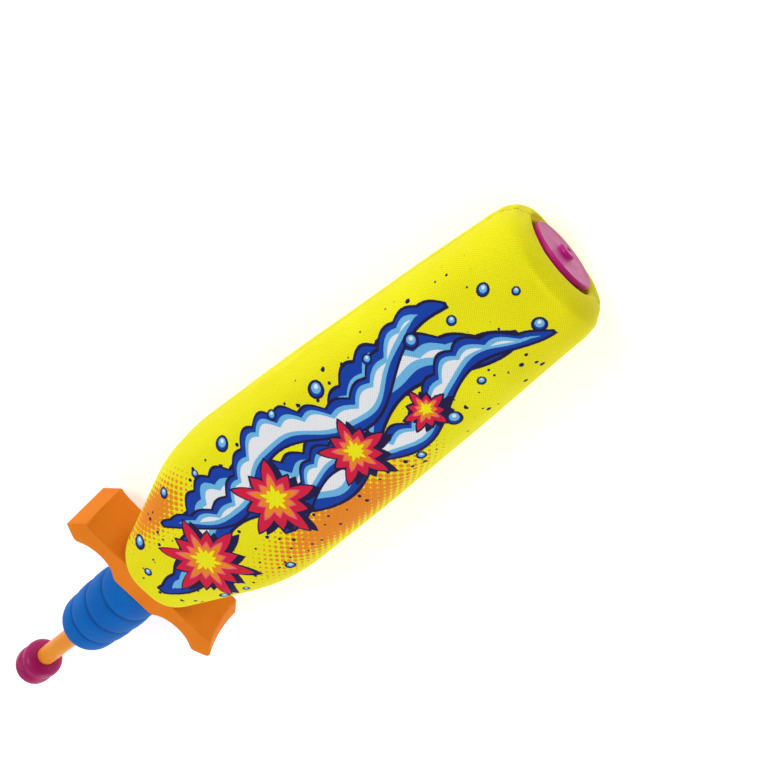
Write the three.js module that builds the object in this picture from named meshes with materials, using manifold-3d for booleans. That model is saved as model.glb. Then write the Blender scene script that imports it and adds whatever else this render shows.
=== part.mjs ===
// Foam-bladed water squirter: a hand pump inside a padded, sword-shaped body.
// Millimetres, +Z up, +X towards the nozzle. The squirter lies on its plain back with the
// printed face up, and the origin is under the middle of its overall box.

import * as THREE from "three";
import { mergeVertices } from "three/addons/utils/BufferGeometryUtils.js";
import Module from "manifold-3d";

const wasm = await Module();
wasm.setup();

// Clearances
const fitGap = 0.3; // between fixed neighbours
const slideGap = 0.3; // between the plunger and what guides it
const pistonEndGap = 1.5; // piston to nozzle cap with the knob pushed home
const knobEndGap = 0.5; // knob to grip with the knob pushed home

// Nozzle cap
const capRadius = 17.8;
const capThickness = 2.9;
const capEdgeRadius = 0.9;
const capHubRadius = 15.6;
const capHubLength = 4.2;
const capSpigotLength = 12;
const capSpigotWall = 1.8;
const bossRadius = 4.2;
const bossHeight = 2.2;
const jetRadius = 1.1;

// Barrel
const barrelRadius = 14;
const barrelWall = 1.7;

// Blade: the padded body with its woven cover
const bladeSetback = 1.6; // front of the cover behind the face of the nozzle cap
const bladeLength = 295;
const bladeHalfThickness = 29;
const bladeFrontHalfWidth = 32.2;
const bladeShoulderHalfWidth = 50.6;
const bladeRearHalfWidth = 25.6;
const shoulderLength = 76; // from the rear end to the widest place
const shoulderBlend = 22; // length of the soft bend at the shoulder, each way
const frontCornerRound = 14.5; // in plan
const rearCornerRound = 9.2;
const endEdgeRound = 6.5; // in side view, at both ends
const edgeRoundAcross = 21; // long edges: across the face
const edgeRoundDeep = 25; // long edges: through the thickness
const largestRound = 0.9; // share of a half side that a rounded edge may take
const pocketRadius = 19.4; // round dip in the front end, which the cap sits in
const coverThickness = 1.1;

// Guard
const guardThickness = 16.5;
const guardHalfDepth = 19.1;
const guardShoulderHalfWidth = 46.5;
const guardShoulderRise = 1.3;
const guardTipReach = 10.9; // tips beyond the shoulders
const guardTipRise = 7.5; // the tips lie this far before the rear face
const guardFrontReach = 2.6; // front corners beyond the shoulders
const guardScallopHalfWidth = 30;
const guardScallopDepth = 6.6;
const guardScallopSpread = 9; // half length of a scallop's floor
const guardSeatHalfWidth = 15.4; // straight stretch that the grip meets
const guardFrontFlare = 2; // the tips' front corners reach this far ahead
const guardEdgeRound = 0.9;

// Grip
const gripLength = 74;
const gripFrontRadius = 18.6;
const gripRadius = 20.6;
const gripRearRadius = 17.8;
const gripFrontRound = 1.2;
const gripEndRound = 12;
const gripEndWall = 5;
const grooveCount = 3;
const grooveStart = 19.5; // first groove behind the guard
const groovePitch = 17.5;
const grooveHalfWidth = 6.5;
const grooveDepth = 1.3;

// Plunger
const rodRadius = 6.3;
const rodWall = 1.5;
const guideFlange = 3;
const guideSpigotLength = 12;
const knobGap = 46.5; // grip to knob as it lies
const knobLength = 18.5;
const knobRadius = 13.3;
const knobWaistRadius = 12.2;
const knobDish = 0.8;
const knobRimLength = 8.5;
const knobEdgeRound = 3;
const knobSocketDepth = 13;
const pistonLength = 26;
const pistonSocketDepth = 12;
const ringSection = 1.7; // radius of a ring's round section
const ringCount = 2;
const ringStart = 5.5; // first ring behind the piston's front
const ringPitch = 9;

// How finely round shapes are drawn
const latheSides = 36;
const ringSides = 32;
const cornerSteps = 8;
const endSteps = 6;
const edgeSteps = 3;

// Stations along the squirter's axis, from the cap's face backwards
const hubRear = -capThickness - capHubLength;
const barrelFront = hubRear - fitGap;
const barrelBore = barrelRadius - barrelWall;
const spigotRear = hubRear - capSpigotLength;
const bladeFront = -bladeSetback;
const bladeRear = bladeFront - bladeLength;
const pocketFloor = hubRear - fitGap;
const guardFront = bladeRear - fitGap;
const guardRear = guardFront - guardThickness;
const gripFront = guardRear - fitGap;
const gripRear = gripFront - gripLength;
const guideRear = gripRear + gripEndWall + fitGap;
const guideFlangeFront = guideRear + guideFlange;
const barrelRear = guideFlangeFront + fitGap;
const guideFront = guideFlangeFront + guideSpigotLength;
const knobFront = gripRear - knobGap;
const knobRear = knobFront - knobLength;
const pistonFront = spigotRear - pistonEndGap - (knobGap - knobEndGap);
const pistonRear = pistonFront - pistonLength;
const ringMiddleRadius = barrelBore - slideGap - ringSection;
const rodFront = pistonRear + pistonSocketDepth - fitGap;
const rodRear = knobFront - knobSocketDepth + fitGap;

const looks = {
  printedCloth: { color: 0xf3e82a, roughness: 0.85, metalness: 0 },
  plainCloth: { color: 0xe8dc28, roughness: 0.85, metalness: 0 },
  paddingFoam: { color: 0xf0efe8, roughness: 0.95, metalness: 0 },
  orangeFoam: { color: 0xe0771c, roughness: 0.8, metalness: 0 },
  blueFoam: { color: 0x0f5aac, roughness: 0.7, metalness: 0 },
  magentaPlastic: { color: 0xb02a72, roughness: 0.35, metalness: 0 },
  orangePlastic: { color: 0xee9a34, roughness: 0.4, metalness: 0 },
  whitePlastic: { color: 0xe9e9e4, roughness: 0.4, metalness: 0 },
  blackRubber: { color: 0x1c1c1e, roughness: 0.8, metalness: 0 },
};

// A closed geometry with shared vertices and no empty triangles
function welded(geometry) {
  const bare = geometry.clone();
  bare.deleteAttribute("normal");
  bare.deleteAttribute("uv");
  const merged = mergeVertices(bare, 1e-4);
  const source = merged.getIndex().array;
  const kept = [];
  for (let i = 0; i < source.length; i += 3) {
    const [a, b, c] = source.slice(i, i + 3);
    if (a !== b && b !== c && c !== a) kept.push(a, b, c);
  }
  merged.setIndex(kept);
  return merged;
}

function toManifold(geometry) {
  const closed = welded(geometry);
  const vertProperties = new Float32Array(closed.getAttribute("position").array);
  const triVerts = new Uint32Array(closed.getIndex().array);
  return new wasm.Manifold(new wasm.Mesh({ numProp: 3, vertProperties, triVerts }));
}

function fromManifold(solid) {
  const { vertProperties, triVerts } = solid.getMesh();
  const geometry = new THREE.BufferGeometry();
  geometry.setAttribute("position", new THREE.BufferAttribute(vertProperties, 3));
  geometry.setIndex(new THREE.BufferAttribute(triVerts, 1));
  return geometry;
}

// Turns a profile of (station, radius) pairs round the squirter's axis
function turned(profile, sides = latheSides) {
  const points = profile.map(([station, radius]) => new THREE.Vector2(radius, station));
  return new THREE.LatheGeometry(points, sides).rotateZ(-Math.PI / 2);
}

// A plain round rod between two stations, for cutting bores
function roundRod(rear, front, radius, sides = latheSides) {
  return turned([[rear, 0], [rear, radius], [front, radius], [front, 0]], sides);
}

// Points of a quarter circle in a profile, from one end angle to the other
function arc(station, radius, round, fromAngle, toAngle, steps) {
  const points = [];
  for (let i = 0; i <= steps; i += 1) {
    const angle = THREE.MathUtils.lerp(fromAngle, toAngle, i / steps);
    points.push([station + round * Math.cos(angle), radius + round * Math.sin(angle)]);
  }
  return points;
}

// Half of the blade's plan outline from rear to front, drawn in by an even inset
function bladePlan(inset) {
  const rear = bladeRear + inset;
  const front = bladeFront - inset;
  const shoulder = bladeRear + shoulderLength;
  const rearHalf = bladeRearHalfWidth - inset;
  const shoulderHalf = bladeShoulderHalfWidth - inset;
  const frontHalf = bladeFrontHalfWidth - inset;
  const rearSlope = (shoulderHalf - rearHalf) / (shoulder - rear);
  const sideSlope = (frontHalf - shoulderHalf) / (front - shoulder);
  const rearRound = rearCornerRound - inset;
  const frontRound = frontCornerRound - inset;
  const plan = new THREE.Path();
  plan.moveTo(rear, rearHalf - rearRound);
  plan.quadraticCurveTo(rear, rearHalf, rear + rearRound, rearHalf + rearSlope * rearRound);
  plan.lineTo(shoulder - shoulderBlend, shoulderHalf - rearSlope * shoulderBlend);
  plan.quadraticCurveTo(
    shoulder, shoulderHalf, shoulder + shoulderBlend, shoulderHalf + sideSlope * shoulderBlend,
  );
  plan.lineTo(front - frontRound, frontHalf - sideSlope * frontRound);
  plan.quadraticCurveTo(front, frontHalf, front, frontHalf - frontRound);
  return plan.getPoints(endSteps);
}

// Half thickness of the blade at a station: level, with rounded edges at both ends
function bladeHalfDepth(station, inset) {
  const round = endEdgeRound - inset;
  const fromEnd = Math.min(station - (bladeRear + inset), bladeFront - inset - station);
  const short = Math.max(0, round - fromEnd);
  return bladeHalfThickness - inset - (round - Math.sqrt(round * round - short * short));
}

// One cross-section of the blade: level faces with rounded long edges
function bladeSection(station, halfWidth, inset) {
  const halfDepth = bladeHalfDepth(station, inset);
  const across = Math.min(edgeRoundAcross - inset, halfWidth * largestRound);
  const deep = Math.min(edgeRoundDeep - inset, halfDepth * largestRound);
  const points = [];
  for (let corner = 0; corner < 4; corner += 1) {
    const sideY = corner === 0 || corner === 3 ? 1 : -1;
    const sideZ = corner < 2 ? 1 : -1;
    for (let i = 0; i <= cornerSteps; i += 1) {
      const angle = (Math.PI / 2) * (corner + i / cornerSteps);
      const y = sideY * (halfWidth - across) + across * Math.cos(angle);
      const z = sideZ * (halfDepth - deep) + deep * Math.sin(angle);
      points.push([station, y, z]);
    }
  }
  return points;
}

// The blade's closed form, drawn in by an even inset
function bladeForm(inset) {
  const sections = bladePlan(inset).map((point) => bladeSection(point.x, point.y, inset));
  const around = sections[0].length;
  const last = sections.length - 1;
  const positions = sections.flat(2);
  const index = [];
  for (let s = 0; s < last; s += 1) {
    for (let i = 0; i < around; i += 1) {
      const next = (i + 1) % around;
      const a = s * around + i;
      const b = s * around + next;
      index.push(a, b, b + around, a, b + around, a + around);
    }
  }
  for (let i = 1; i < around - 1; i += 1) {
    index.push(0, i + 1, i);
    index.push(last * around, last * around + i, last * around + i + 1);
  }
  const geometry = new THREE.BufferGeometry();
  geometry.setAttribute("position", new THREE.Float32BufferAttribute(positions, 3));
  geometry.setIndex(index);
  return geometry;
}

// The blade with its front pocket, drawn in by an even inset
function pocketedBlade(inset) {
  const pocket = roundRod(pocketFloor - inset, bladeSetback, pocketRadius + inset);
  return toManifold(bladeForm(inset)).subtract(toManifold(pocket));
}

function barrelHole() {
  return toManifold(roundRod(barrelRear, bladeSetback, barrelRadius + fitGap));
}

// One half of the woven cover, above (+1) or below (-1) the side seam
function coverPanel(side) {
  const reach = bladeLength + bladeSetback;
  const half = new THREE.BoxGeometry(2 * reach, 2 * reach, reach);
  half.translate(0, 0, side * (reach / 2 + fitGap / 2));
  const shell = pocketedBlade(0).subtract(pocketedBlade(coverThickness));
  return fromManifold(shell.subtract(barrelHole()).intersect(toManifold(half)));
}

function foamCore() {
  return fromManifold(pocketedBlade(coverThickness + fitGap).subtract(barrelHole()));
}

function nozzleCap() {
  const spigotRadius = barrelBore - fitGap;
  const throatRadius = spigotRadius - capSpigotWall;
  const rimMiddle = capRadius - capEdgeRadius;
  const bossMiddle = bossRadius - capEdgeRadius;
  const quarter = Math.PI / 2;
  return turned([
    [spigotRear, throatRadius],
    [spigotRear, spigotRadius],
    [hubRear, spigotRadius],
    [hubRear, capHubRadius],
    [-capThickness, capHubRadius],
    ...arc(capEdgeRadius - capThickness, rimMiddle, capEdgeRadius, 2 * quarter, quarter, edgeSteps),
    ...arc(-capEdgeRadius, rimMiddle, capEdgeRadius, quarter, 0, edgeSteps),
    [0, bossRadius],
    ...arc(bossHeight - capEdgeRadius, bossMiddle, capEdgeRadius, quarter, 0, edgeSteps),
    [bossHeight, jetRadius],
    [-capThickness, jetRadius],
    [hubRear, throatRadius],
    [spigotRear, throatRadius],
  ]);
}

function barrelTube() {
  return turned([
    [barrelRear, barrelBore],
    [barrelRear, barrelRadius],
    [barrelFront, barrelRadius],
    [barrelFront, barrelBore],
    [barrelRear, barrelBore],
  ]);
}

// Half of the guard's die-cut outline: scallop beside the grip, flared tip, drawn-in front edge
function guardHalfOutline() {
  const scallopFloor = guardRear + guardScallopDepth * 4 / 3; // a cubic reaches 3/4 of its handles
  const half = new THREE.Path();
  half.moveTo(guardRear, guardSeatHalfWidth);
  half.bezierCurveTo(
    scallopFloor, guardScallopHalfWidth - guardScallopSpread,
    scallopFloor, guardScallopHalfWidth + guardScallopSpread,
    guardRear + guardShoulderRise, guardShoulderHalfWidth,
  );
  half.lineTo(guardRear + guardTipRise, guardShoulderHalfWidth + guardTipReach);
  half.lineTo(guardFront + guardFrontFlare, guardShoulderHalfWidth + guardFrontReach);
  half.quadraticCurveTo(guardFront, guardShoulderHalfWidth, guardFront, guardScallopHalfWidth);
  return half.getPoints(cornerSteps);
}

function guardBlock() {
  const half = guardHalfOutline();
  const mirrored = half.map((point) => new THREE.Vector2(point.x, -point.y)).reverse();
  const block = new THREE.ExtrudeGeometry(new THREE.Shape([...half, ...mirrored]), {
    depth: 2 * (guardHalfDepth - guardEdgeRound),
    bevelThickness: guardEdgeRound,
    bevelSize: guardEdgeRound,
    bevelOffset: -guardEdgeRound,
    bevelSegments: 2,
  });
  block.translate(0, 0, guardEdgeRound - guardHalfDepth);
  return fromManifold(toManifold(block).subtract(barrelHole()));
}

// Radius of the grip before its grooves are pressed in: a gentle barrel shape
function gripEnvelope(station) {
  const along = (gripFront - station) / gripLength;
  const ends = THREE.MathUtils.lerp(gripFrontRadius, gripRearRadius, along);
  const swell = gripRadius - (gripFrontRadius + gripRearRadius) / 2;
  return ends + 4 * swell * along * (1 - along);
}

// Soft ribs between pressed grooves, a rounded rear end, and a bore that holds the barrel
function gripSleeve() {
  const bore = barrelRadius + fitGap;
  const rodHole = rodRadius + 2 * slideGap;
  const roundStart = gripRear + gripEndRound;
  const roundRadius = gripEnvelope(roundStart) - gripEndRound;
  const profile = [[gripFront, bore]];
  const outline = [[gripFront, gripEnvelope(gripFront) - gripFrontRound]];
  outline.push([gripFront - gripFrontRound, gripEnvelope(gripFront - gripFrontRound)]);
  for (let groove = 0; groove < grooveCount; groove += 1) {
    const middle = gripFront - grooveStart - groove * groovePitch;
    for (const offset of [1, 0.7, 0.35, 0, -0.35, -0.7, -1]) {
      const station = middle + offset * grooveHalfWidth;
      const pressed = grooveDepth * (1 - Math.abs(offset)) ** 2;
      outline.push([station, gripEnvelope(station) - pressed]);
    }
  }
  outline.push(...arc(roundStart, roundRadius, gripEndRound, Math.PI / 2, Math.PI, endSteps));
  profile.push(...outline);
  profile.push([gripRear, rodHole], [gripRear + gripEndWall, rodHole], [gripRear + gripEndWall, bore]);
  profile.push([gripFront, bore]);
  return turned(profile.reverse());
}

function rodGuide() {
  const bore = rodRadius + slideGap;
  return turned([
    [guideRear, bore],
    [guideRear, barrelRadius],
    [guideFlangeFront, barrelRadius],
    [guideFlangeFront, barrelBore - fitGap],
    [guideFront, barrelBore - fitGap],
    [guideFront, bore],
    [guideRear, bore],
  ]);
}

function plungerRod() {
  return turned([
    [rodRear, rodRadius - rodWall],
    [rodRear, rodRadius],
    [rodFront, rodRadius],
    [rodFront, rodRadius - rodWall],
    [rodRear, rodRadius - rodWall],
  ]);
}

function ringStation(count) {
  return pistonFront - ringStart - count * ringPitch;
}

function pistonRing(count) {
  const ring = new THREE.TorusGeometry(ringMiddleRadius, ringSection, cornerSteps, ringSides);
  return ring.rotateY(Math.PI / 2).translate(ringStation(count), 0, 0);
}

// A plug with a groove for each ring and a socket for the rod
function pistonPlug() {
  const radius = barrelBore - 2 * slideGap;
  const floor = ringMiddleRadius - ringSection - fitGap;
  const socket = rodRadius + fitGap;
  const socketEnd = pistonRear + pistonSocketDepth;
  const halfGroove = ringSection + fitGap;
  const profile = [[socketEnd, 0], [socketEnd, socket], [pistonRear, socket], [pistonRear, radius]];
  for (let count = ringCount - 1; count >= 0; count -= 1) {
    const rear = ringStation(count) - halfGroove;
    const front = ringStation(count) + halfGroove;
    profile.push([rear, radius], [rear, floor], [front, floor], [front, radius]);
  }
  profile.push([pistonFront, radius], [pistonFront, 0]);
  return turned(profile);
}

// A spool with two rounded rims, a waist between them and a shallow dish round the rod
function pullKnob() {
  const socket = rodRadius + fitGap;
  const socketEnd = knobFront - knobSocketDepth;
  const rimMiddle = knobRadius - knobEdgeRound;
  const rearRimFront = knobRear + knobRimLength;
  const frontRimRear = knobFront - knobRimLength;
  const quarter = Math.PI / 2;
  return turned([
    [knobRear, 0],
    ...arc(knobRear + knobEdgeRound, rimMiddle, knobEdgeRound, 2 * quarter, quarter, edgeSteps),
    ...arc(rearRimFront - knobEdgeRound, rimMiddle, knobEdgeRound, quarter, quarter / 2, 2),
    [(rearRimFront + frontRimRear) / 2, knobWaistRadius],
    ...arc(frontRimRear + knobEdgeRound, rimMiddle, knobEdgeRound, 1.5 * quarter, quarter, 2),
    ...arc(knobFront - knobEdgeRound, rimMiddle, knobEdgeRound, quarter, 0, edgeSteps),
    [knobFront - knobDish, socket + knobDish],
    [knobFront - knobDish, socket],
    [socketEnd, socket],
    [socketEnd, 0],
  ]);
}

function piece(name, geometry, look) {
  const closed = welded(geometry);
  closed.computeVertexNormals();
  const mesh = new THREE.Mesh(closed, new THREE.MeshStandardMaterial(look));
  mesh.name = name;
  return mesh;
}

const squirter = new THREE.Group();
squirter.add(
  piece("cover_front_panel", coverPanel(1), looks.printedCloth),
  piece("cover_back_panel", coverPanel(-1), looks.plainCloth),
  piece("foam_core", foamCore(), looks.paddingFoam),
  piece("barrel", barrelTube(), looks.whitePlastic),
  piece("nozzle_cap", nozzleCap(), looks.magentaPlastic),
  piece("guard", guardBlock(), looks.orangeFoam),
  piece("grip", gripSleeve(), looks.blueFoam),
  piece("rod_guide", rodGuide(), looks.whitePlastic),
);

const plunger = new THREE.Group();
plunger.add(
  piece("plunger_rod", plungerRod(), looks.orangePlastic),
  piece("knob", pullKnob(), looks.magentaPlastic),
  piece("piston", pistonPlug(), looks.whitePlastic),
  piece("piston_ring_front", pistonRing(0), looks.blackRubber),
  piece("piston_ring_rear", pistonRing(1), looks.blackRubber),
);
squirter.add(plunger);

squirter.position.set(-(bossHeight + knobRear) / 2, 0, bladeHalfThickness);

export default squirter;
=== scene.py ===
import math
from functools import partial
from types import SimpleNamespace

import bmesh
import bpy
import numpy as np
from mathutils import Euler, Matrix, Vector


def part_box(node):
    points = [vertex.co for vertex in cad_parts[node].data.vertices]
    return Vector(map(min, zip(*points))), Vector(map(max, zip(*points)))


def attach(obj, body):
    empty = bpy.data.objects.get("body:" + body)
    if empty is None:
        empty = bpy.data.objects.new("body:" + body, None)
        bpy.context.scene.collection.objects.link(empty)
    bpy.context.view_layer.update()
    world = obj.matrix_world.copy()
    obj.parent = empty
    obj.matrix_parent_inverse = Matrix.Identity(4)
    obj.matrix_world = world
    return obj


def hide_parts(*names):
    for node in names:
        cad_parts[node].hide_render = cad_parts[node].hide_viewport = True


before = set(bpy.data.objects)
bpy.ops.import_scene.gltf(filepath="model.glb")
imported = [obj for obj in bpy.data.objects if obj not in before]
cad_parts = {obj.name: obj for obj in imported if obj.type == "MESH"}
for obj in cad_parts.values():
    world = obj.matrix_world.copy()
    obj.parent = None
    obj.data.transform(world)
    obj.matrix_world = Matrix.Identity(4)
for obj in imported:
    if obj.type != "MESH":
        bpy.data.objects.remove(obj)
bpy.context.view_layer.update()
mm = 0.001
print("frame loaded:", len(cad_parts), "nodes")

scene = bpy.context.scene
scene.view_settings.view_transform = "Standard"

# camera first: it stands over the nozzle end and looks back along the blade
cameraSet = {
    "place": (0.296645, 0.067520, 0.367687),
    "turn": (-25.84857, 13.88555, -43.89333),  # degrees, about X, Y, Z
    "lens": 37.5,
    "sensor": 36.0,
}
cameraData = bpy.data.cameras.new("photoCamera")
cameraData.lens = cameraSet["lens"]
cameraData.sensor_width = cameraSet["sensor"]
cameraData.clip_start = 0.01
camera = bpy.data.objects.new("photoCamera", cameraData)
camera.location = cameraSet["place"]
camera.rotation_euler = Euler([math.radians(a) for a in cameraSet["turn"]], "XYZ")
scene.collection.objects.link(camera)
scene.camera = camera


# small helpers
def linear(red, green, blue):
    def one(c):
        c /= 255
        return c / 12.92 if c <= 0.04045 else ((c + 0.055) / 1.055) ** 2.4
    return (one(red), one(green), one(blue), 1.0)


# a piece's settings, read by name inside its functions
def named(settings):
    return SimpleNamespace(**settings)


def smooth(low, high, values):
    t = np.clip((values - low) / (high - low), 0, 1)
    return t * t * (3 - 2 * t)


def placed(name, data):
    thing = bpy.data.objects.new(name, data)
    scene.collection.objects.link(thing)
    return thing


# the mesh of a helper object with its modifiers applied; the helper goes away
def baked(thing):
    shaped = thing.evaluated_get(bpy.context.evaluated_depsgraph_get())
    mesh = bpy.data.meshes.new_from_object(shaped)
    bpy.data.objects.remove(thing)
    return mesh


def addPiece(name, mesh, material, body, nodes):
    piece = placed(name, mesh)
    mesh.materials.clear()
    mesh.materials.append(material)
    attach(piece, body)
    if nodes:
        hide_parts(*nodes)
    return piece


def meshOf(name, points, faces):
    mesh = bpy.data.meshes.new(name)
    mesh.from_pydata([tuple(p) for p in points], [], faces)
    mesh.validate()
    mesh.shade_smooth()
    return mesh


def outward(mesh):
    work = bmesh.new()
    work.from_mesh(mesh)
    bmesh.ops.remove_doubles(work, verts=work.verts, dist=1e-7)
    bmesh.ops.recalc_face_normals(work, faces=work.faces)
    work.to_mesh(mesh)
    work.free()
    mesh.shade_smooth()
    return mesh


# a profile of (station, radius) pairs in mm, turned round the pump's axis; a closed one makes a tube
def turnedMesh(name, profile, sides, closed=False):
    points, rings = [], []
    for station, radius in profile:
        station, radius = station * mm, radius * mm
        if radius < 1e-9:
            rings.append([len(points)])
            points.append((station, 0, axisHeight))
            continue
        rings.append(list(range(len(points), len(points) + sides)))
        for k in range(sides):
            angle = 2 * math.pi * k / sides
            points.append((station, radius * math.cos(angle), axisHeight + radius * math.sin(angle)))
    pairs = list(zip(rings, rings[1:]))
    if closed:
        pairs.append((rings[-1], rings[0]))
    faces = []
    for first, second in pairs:
        for k in range(sides):
            n = (k + 1) % sides
            quad = [(first, k), (first, n), (second, n), (second, k)]
            face = list(dict.fromkeys(ring[i % len(ring)] for ring, i in quad))
            if len(face) > 2:
                faces.append(face)
    return outward(meshOf(name, points, faces))


def roundCorner(middle, radius, startAngle, endAngle, steps=8):
    angles = np.linspace(math.radians(startAngle), math.radians(endAngle), steps + 1)
    return [(middle[0] + radius * math.cos(a), middle[1] + radius * math.sin(a)) for a in angles]


# node helpers; those that make a node return its output
def newMaterial(name):
    material = bpy.data.materials.new(name)
    material.use_nodes = True
    tree = material.node_tree
    return material, tree, tree.nodes["Principled BSDF"]


def feed(tree, socket, value):
    if isinstance(value, bpy.types.NodeSocket):
        tree.links.new(value, socket)
    else:
        socket.default_value = value


def dress(tree, node, values):
    for name, value in values.items():
        feed(tree, node.inputs[name], value)


def maths(tree, operation, *values):
    node = tree.nodes.new("ShaderNodeMath")
    node.operation = operation
    for socket, value in zip(node.inputs, values):
        feed(tree, socket, value)
    return node.outputs[0]


# the sums that a shader or geometry tree needs, by name
def arithmetic(tree):
    names = {
        "plus": "ADD", "minus": "SUBTRACT", "times": "MULTIPLY", "over": "DIVIDE",
        "timesPlus": "MULTIPLY_ADD", "least": "MINIMUM", "most": "MAXIMUM", "size": "ABSOLUTE",
        "root": "SQRT", "power": "POWER", "sine": "SINE", "angle": "ARCTAN2", "part": "FRACT",
        "whole": "ROUND", "above": "GREATER_THAN", "pingPong": "PINGPONG",
    }
    return named({name: partial(maths, tree, kind) for name, kind in names.items()})


# how far a station lies from the nearest of a row of grooves
def fromGroove(sums, station, first, pitch, last):
    behind = sums.over(sums.minus(first, station), pitch)
    nearest = sums.least(sums.most(sums.whole(behind), 0.0), last)
    return sums.times(sums.size(sums.minus(behind, nearest)), pitch)


def apart(tree, vector):
    node = tree.nodes.new("ShaderNodeSeparateXYZ")
    tree.links.new(vector, node.inputs[0])
    return node.outputs


def ranged(tree, value, fromLow, fromHigh, toLow=0.0, toHigh=1.0):
    node = tree.nodes.new("ShaderNodeMapRange")
    dress(tree, node, {"Value": value, "From Min": fromLow, "From Max": fromHigh,
                       "To Min": toLow, "To Max": toHigh})
    return node.outputs["Result"]


def mixed(tree, share, first, second, blend="MIX"):
    node = tree.nodes.new("ShaderNodeMix")
    node.data_type = "RGBA"
    node.blend_type = blend
    for i, value in ((0, share), (6, first), (7, second)):
        feed(tree, node.inputs[i], value)
    return node.outputs[2]


def noiseOf(tree, vector, scale, detail=2.0, rough=0.5):
    node = tree.nodes.new("ShaderNodeTexNoise")
    dress(tree, node, {"Vector": vector, "Scale": scale, "Detail": detail, "Roughness": rough})
    return node.outputs["Fac"]


def bumped(tree, height, strength, distance, under=None):
    node = tree.nodes.new("ShaderNodeBump")
    dress(tree, node, {"Strength": strength, "Distance": distance, "Height": height})
    if under is not None:
        tree.links.new(under, node.inputs["Normal"])
    return node.outputs["Normal"]


def objectPlace(tree):
    return tree.nodes.new("ShaderNodeTexCoord").outputs["Object"]


# cloth: yarn pitch, wear, painted shade between the threads, and dye
clothSet = {
    "yarn": 0.6,  # mm between threads
    "slub": 900.0, "fade": 26.0,  # uneven threads and washed patches, per metre
    # poreShade darkens the gaps between threads as painted shade; slubShade and fadeShade are tone that
    # changes at random
    "poreShade": (0.80, 1.02), "slubShade": (0.95, 1.03), "fadeShade": (0.96, 1.02),
    "rough": (0.62, 0.8), "relief": 0.00016,
    "yellow": linear(243, 239, 22),
    "yellowDeep": linear(238, 226, 16),
    "back": linear(240, 232, 20),
    "navy": linear(34, 28, 72),
    "royal": linear(22, 66, 170),
    "light": linear(112, 186, 232),
    "white": linear(238, 240, 244),
    "red": linear(216, 32, 66),
    "pink": linear(240, 96, 120),
    "orange": linear(240, 140, 34),
}


def clothTone(tree, uv, scale, name):
    tone = ranged(tree, noiseOf(tree, uv, scale), 0.35, 0.7)
    return mixed(tree, tone, clothSet[name], clothSet["yellowDeep"])


# plain weave: threads pass over and under each other
def makeCloth(name, colouring):
    material, tree, shader = newMaterial(name)
    grain = tree.nodes.new("ShaderNodeUVMap")
    grain.uv_map = "clothGrain"
    sums, uv = arithmetic(tree), grain.outputs[0]
    parts, turn = apart(tree, uv), math.pi / clothSet["yarn"]
    along, across = (sums.times(parts[i], 1 / mm) for i in (0, 1))
    warp, weft = (sums.sine(sums.times(way, turn)) for way in (along, across))
    height = sums.timesPlus(sums.times(warp, weft), 0.5, 0.5)
    slub = noiseOf(tree, uv, clothSet["slub"])
    fade = noiseOf(tree, uv, clothSet["fade"], 3.0)
    # darker in the gaps between threads (painted shade), times random tone from uneven threads and washed
    # patches
    threadShadeAndTone = sums.times(ranged(tree, height, 0.05, 0.6, *clothSet["poreShade"]),
                     ranged(tree, slub, 0.25, 0.75, *clothSet["slubShade"]))
    threadShadeAndTone = sums.times(threadShadeAndTone, ranged(tree, fade, 0.3, 0.7, *clothSet["fadeShade"]))
    grey = tree.nodes.new("ShaderNodeCombineColor")
    for socket in grey.inputs:
        tree.links.new(threadShadeAndTone, socket)
    colour = colouring(tree, uv, along, across)
    dress(tree, shader, {
        "Base Color": mixed(tree, 1.0, colour, grey.outputs[0], "MULTIPLY"),
        "Roughness": ranged(tree, slub, 0.2, 0.8, *clothSet["rough"]),
        "Normal": bumped(tree, height, 0.5, clothSet["relief"]),
        "Sheen Weight": 0.03, "Sheen Roughness": 0.5, "Specular IOR Level": 0.08,
    })
    return material


# the printed face: waves, bubbles, star bursts and a dotted fade, in mm along and across the blade
printSet = {
    "dots": {"pitch": 3.2, "fields": [((66, -31), 80, 22), ((-22, 33), 46, 19)]},
    "waves": [  # ends, level, swing, length, phase and half width
        (-58, 198, 2, 11, 118, 0.5, 17.0), (-22, 182, 15, 9, 96, 3.4, 9.5),
        (34, 209, -11, 8, 88, 1.9, 8.0),
    ],
    "waveTrim": 1.5, "taper": 0.55, "crest": 13.0, "crestHeight": 3.6,
    "waveHalf": 14.5,  # the insets of the inks are for a wave of this half width
    "waveInks": [("royal", 1.2, 0.5, 0.0), ("light", 1.6, 4.2, 1.3), ("white", 2.2, 7.2, 1.3)],
    "bursts": [  # place, radius, points and turn
        (-16, -7, 27.0, 12, 0.2), (46, -3, 23.0, 10, 0.9),
        (99, -8, 18.0, 10, 0.5), (141, -12, 11.0, 9, 0.3),
    ],
    "burstInks": [("pink", 0.5, 0.6, 0.66), ("orange", 0.5, 0.6, 0.58), ("yellow", 0.8, 1.0, 0.34)],
    "shade": (2.8, -3.0), "shadeRim": 0.6, "burstRim": 1.2,
    "specks": {"cell": 5.2, "from": -60, "to": 196, "half": 37, "largest": 1.25, "rare": 0.62},
    "bubbles": [
        (-44, 24, 4.6), (-52, 8, 2.6), (-30, -31, 3.4), (-6, 36, 3.2), (20, 33, 2.2), (44, 36, 4.2),
        (78, 31, 2.8), (106, 27, 4.4), (136, 23, 2.6), (158, 17, 3.8), (178, 13, 2.4),
        (205, -11, 3.4), (196, 15, 3.0), (207, 6, 2.0), (170, -16, 2.2), (148, -23, 4.0),
        (122, -29, 2.6), (20, -37, 3.0), (-14, -34, 2.2),
    ],
    "bubbleInks": [("navy", 0.0, 1.0), ("royal", 0.0, 0.70), ("light", 0.1, 0.56), ("white", 0.2, 0.24)],
}


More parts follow.
